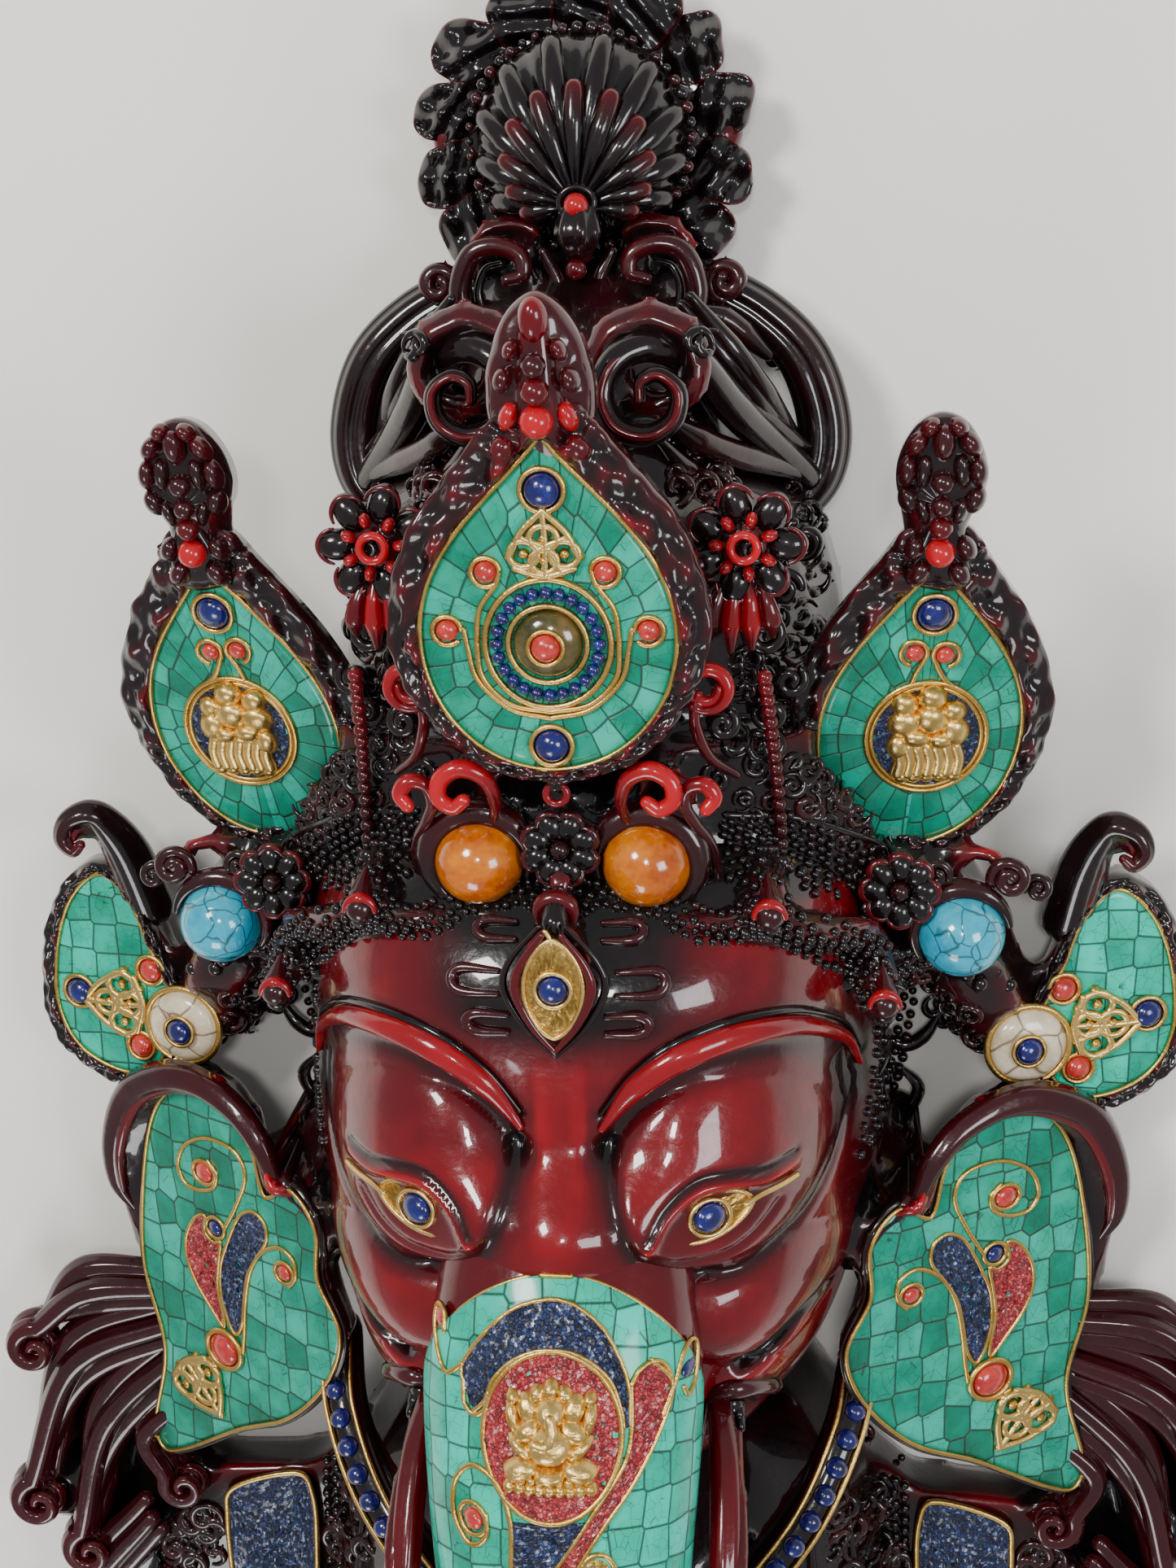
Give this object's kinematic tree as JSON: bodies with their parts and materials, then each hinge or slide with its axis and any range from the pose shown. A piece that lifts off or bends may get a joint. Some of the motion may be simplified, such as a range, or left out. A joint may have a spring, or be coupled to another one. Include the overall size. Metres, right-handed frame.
{
  "type": "ganesha mask",
  "caption": "Himalayan display mask of Ganesha: lacquered cherry red and black resin with turquoise mosaic, brass, lapis, coral and amber, lying on its flat back",
  "frame": {"origin": "middle of the mask's box on its flat back, which lies on the floor", "axes": "+X to the right as one looks at the mask, +Y up the mask towards the crown, +Z out of its face"},
  "size_m": [0.484, 0.6897, 0.2007],
  "materials": {
    "lacquered_resin": "glossy cherry red lacquer over black, black left in the recesses",
    "turquoise_mosaic": "polished green turquoise tiles with dark joints and veins",
    "lapis_chips": "crushed lapis set in resin, rough",
    "lapis": "polished lapis cabochon",
    "coral": "polished red coral cabochon",
    "amber": "cloudy amber, polished",
    "veined_turquoise": "sky blue turquoise with dark veins, polished",
    "bone": "cream bone with brown cracks",
    "olive_agate": "olive brown banded stone, polished",
    "brass": "cast and drawn brass, worn bright"
  },
  "bodies": {
    "root": {"mask_casting": "lacquered_resin", "centre_leaf_mosaic": "turquoise_mosaic", "side_leaf_mosaic_left": "turquoise_mosaic", "wing_mosaic_left": "turquoise_mosaic", "ear_mosaic_left": "turquoise_mosaic", "shoulder_plaque_left": "lapis_chips", "side_leaf_mosaic_right": "turquoise_mosaic", "wing_mosaic_right": "turquoise_mosaic", "ear_mosaic_right": "turquoise_mosaic", "shoulder_plaque_right": "lapis_chips", "third_eye_plate": "brass", "eye_plate_left": "brass", "eye_plate_right": "brass", "trunk_mosaic": "turquoise_mosaic", "amber_ball_left": "amber", "turquoise_ball_left": "veined_turquoise", "bone_disc_left": "bone", "bone_disc_lapis_left": "lapis", "amber_ball_right": "amber", "turquoise_ball_right": "veined_turquoise", "bone_disc_right": "bone", "bone_disc_lapis_right": "lapis", "centre_stone": "olive_agate", "centre_stone_coral": "coral", "centre_lapis_upper": "lapis", "centre_lapis_lower": "lapis", "third_eye_lapis": "lapis", "centre_coral_upper_left": "coral", "centre_coral_lower_left": "coral", "side_leaf_lapis_left": "lapis", "wing_lapis_left": "lapis", "wing_coral_upper_left": "coral", "wing_coral_lower_left": "coral", "ear_coral_left": "coral", "pupil_left": "lapis", "centre_coral_upper_right": "coral", "centre_coral_lower_right": "coral", "side_leaf_lapis_right": "lapis", "wing_lapis_right": "lapis", "wing_coral_upper_right": "coral", "wing_coral_lower_right": "coral", "ear_coral_right": "coral", "pupil_right": "lapis", "trunk_figure": "brass", "centre_ornament": "brass", "side_leaf_figure_left": "brass", "wing_ornament_left": "brass", "ear_ornament_left": "brass", "side_leaf_figure_right": "brass", "wing_ornament_right": "brass", "ear_ornament_right": "brass"}
  },
  "joints": []
}
